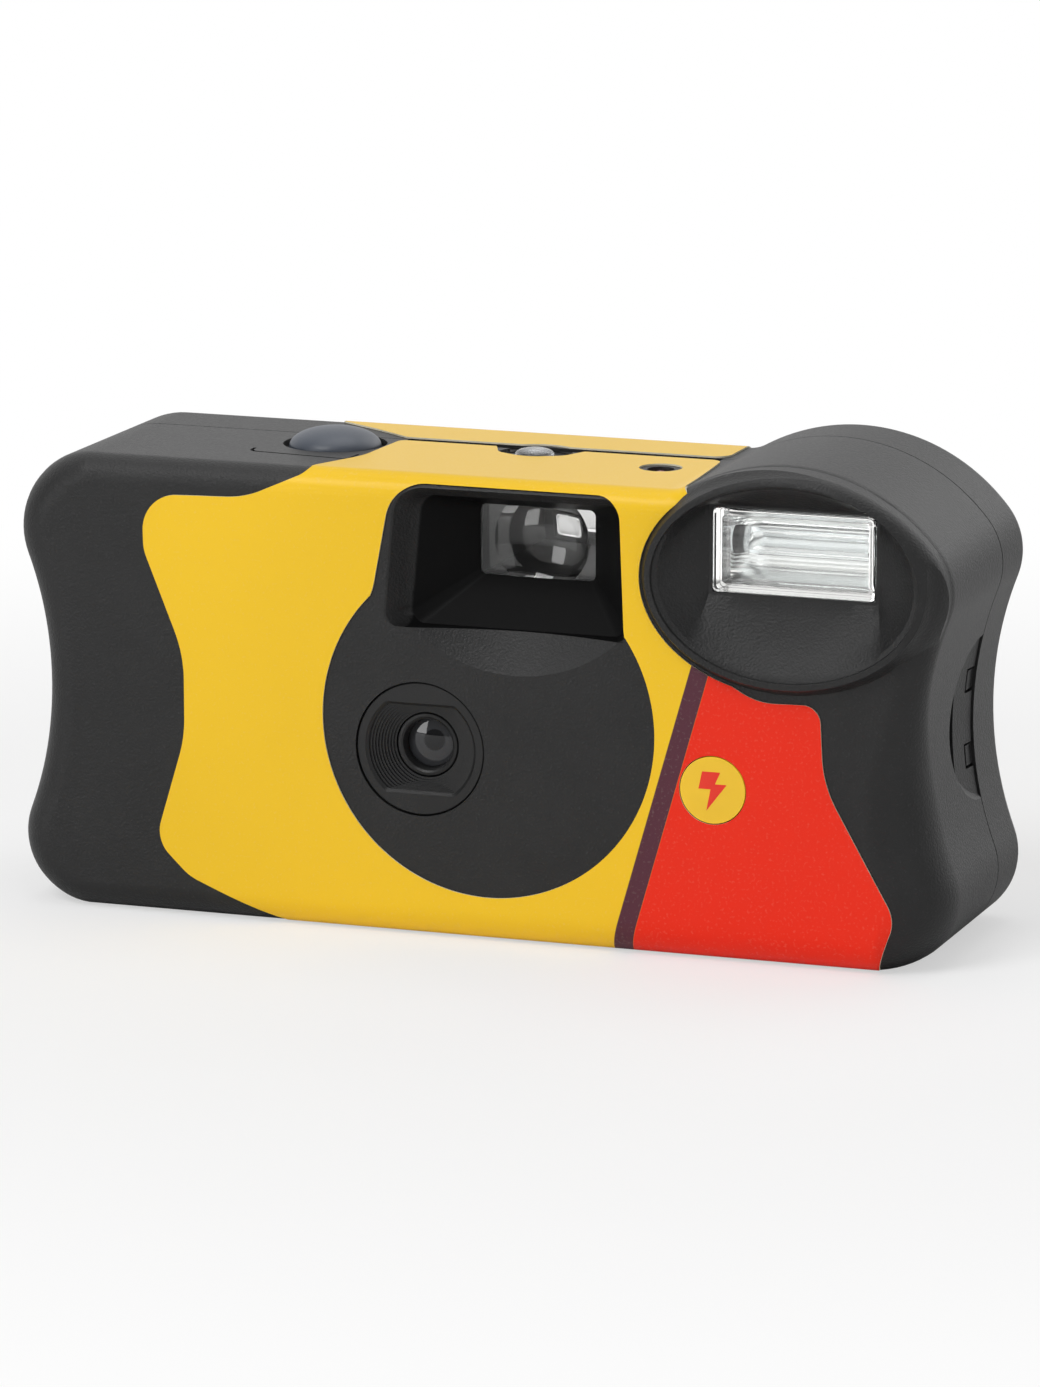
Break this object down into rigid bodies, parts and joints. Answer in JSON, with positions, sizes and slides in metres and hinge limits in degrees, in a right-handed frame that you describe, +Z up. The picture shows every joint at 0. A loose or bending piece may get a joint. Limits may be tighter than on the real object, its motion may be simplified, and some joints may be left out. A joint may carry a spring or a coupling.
{
  "type": "disposable film camera",
  "caption": "Single-use flash film camera with waisted black shell, die-cut two-colour label, hooded viewfinder, oval flash bowl, shutter button and rear thumbwheel.",
  "frame": {"origin": "middle of the flat base, halfway between the front and the rear face", "axes": "+X to the right as seen from the front, along the width; the lens looks along -Y; +Z up"},
  "size_m": [0.118, 0.0377, 0.0599],
  "materials": {
    "black_plastic": "fine grained matte",
    "inner_plastic": "matte",
    "front_label": "satin print",
    "rear_label": "satin print",
    "flash_button": "satin print",
    "shutter_button": "satin",
    "clear_plastic": "clear",
    "tube_glass": "clear",
    "lamp": "clear red",
    "reflector": "bright",
    "board": "laminate",
    "capacitor": "sleeve",
    "winding": "varnished",
    "contact_metal": "plated",
    "cell": "satin",
    "cartridge_steel": "satin",
    "film": "satin",
    "white_plastic": "matte",
    "spring_steel": "drawn wire",
    "blade_steel": "blackened"
  },
  "bodies": {
    "camera": {"front_cover": "black_plastic", "rear_cover": "black_plastic", "main_frame": "inner_plastic", "keeper_plate": "inner_plastic", "shutter_cover": "inner_plastic", "lens_retainer": "inner_plastic", "front_label": "front_label", "rear_label": "rear_label", "taking_lens": "clear_plastic", "finder_lens": "clear_plastic", "eyepiece_lens": "clear_plastic", "counter_lens": "clear_plastic", "flash_window": "clear_plastic", "flash_tube": "tube_glass", "ready_lamp": "lamp", "flash_reflector": "reflector", "flash_board": "board", "flash_capacitor": "capacitor", "transformer": "winding", "trigger_coil": "winding", "charge_contact": "contact_metal", "sync_contact": "contact_metal", "contact_positive": "contact_metal", "contact_negative": "contact_metal", "battery": "cell", "cartridge_shell": "cartridge_steel", "cartridge_caps": "cartridge_steel", "film_strip": "film", "lever_spring": "spring_steel", "blade_spring": "spring_steel"},
    "shutter_button": {"shutter_button": "shutter_button"},
    "release_lever": {"release_lever": "white_plastic"},
    "flash_button": {"flash_button": "flash_button"},
    "film_advance": {"thumbwheel": "inner_plastic", "cartridge_spool": "inner_plastic"},
    "sprocket": {"sprocket": "white_plastic"},
    "counter_dial": {"counter_dial": "white_plastic"},
    "film_supply": {"supply_spool": "inner_plastic", "film_roll": "film"},
    "energy_lever": {"energy_lever": "white_plastic"},
    "shutter_blade": {"shutter_blade": "blade_steel"}
  },
  "joints": [
    {"name": "shutter_press", "type": "slide", "parent": "camera", "child": "shutter_button", "axis": [0, 0, -1], "range_m": [0, 0.0012], "stiffness_N_per_m": 500},
    {"name": "release_tilt", "type": "hinge", "parent": "camera", "child": "release_lever", "pos_m": [-0.017, -0.0003, 0.049], "axis": [0, -1, 0], "range_deg": [0, 16.2]},
    {"name": "flash_press", "type": "slide", "parent": "camera", "child": "flash_button", "axis": [0, 1, 0], "range_m": [0, 0.0007], "stiffness_N_per_m": 800},
    {"name": "wheel_turn", "type": "hinge", "parent": "camera", "child": "film_advance", "pos_m": [-0.04, 0.0026, 0.049], "axis": [0, 0, 1], "continuous": true},
    {"name": "sprocket_turn", "type": "hinge", "parent": "camera", "child": "sprocket", "pos_m": [-0.0181, 0.0049, 0.0374], "axis": [0, 0, 1], "continuous": true},
    {"name": "counter_turn", "type": "hinge", "parent": "camera", "child": "counter_dial", "pos_m": [-0.0075, 0.005, 0.0535], "axis": [0, 0, 1], "continuous": true},
    {"name": "supply_turn", "type": "hinge", "parent": "camera", "child": "film_supply", "pos_m": [0.036, 0.0016, 0.0232], "axis": [0, 0, 1], "continuous": true},
    {"name": "lever_swing", "type": "hinge", "parent": "camera", "child": "energy_lever", "pos_m": [-0.014, -0.0046, 0.0465], "axis": [0, 0, 1], "range_deg": [0, 30], "stiffness_Nm_per_rad": 0.002},
    {"name": "blade_swing", "type": "hinge", "parent": "camera", "child": "shutter_blade", "pos_m": [-0.0102, -0.00955, 0.0322], "axis": [0, 1, 0], "range_deg": [0, 30], "stiffness_Nm_per_rad": 0.002, "deforming": ["blade_spring"]}
  ],
  "couplings": [
    {"joint": "release_tilt", "follows": "shutter_press", "rad_per_m": 232.56},
    {"joint": "sprocket_turn", "follows": "wheel_turn", "ratio": 0.6945},
    {"joint": "supply_turn", "follows": "wheel_turn", "ratio": 0.4468},
    {"joint": "counter_turn", "follows": "wheel_turn", "ratio": -0.017361}
  ]
}
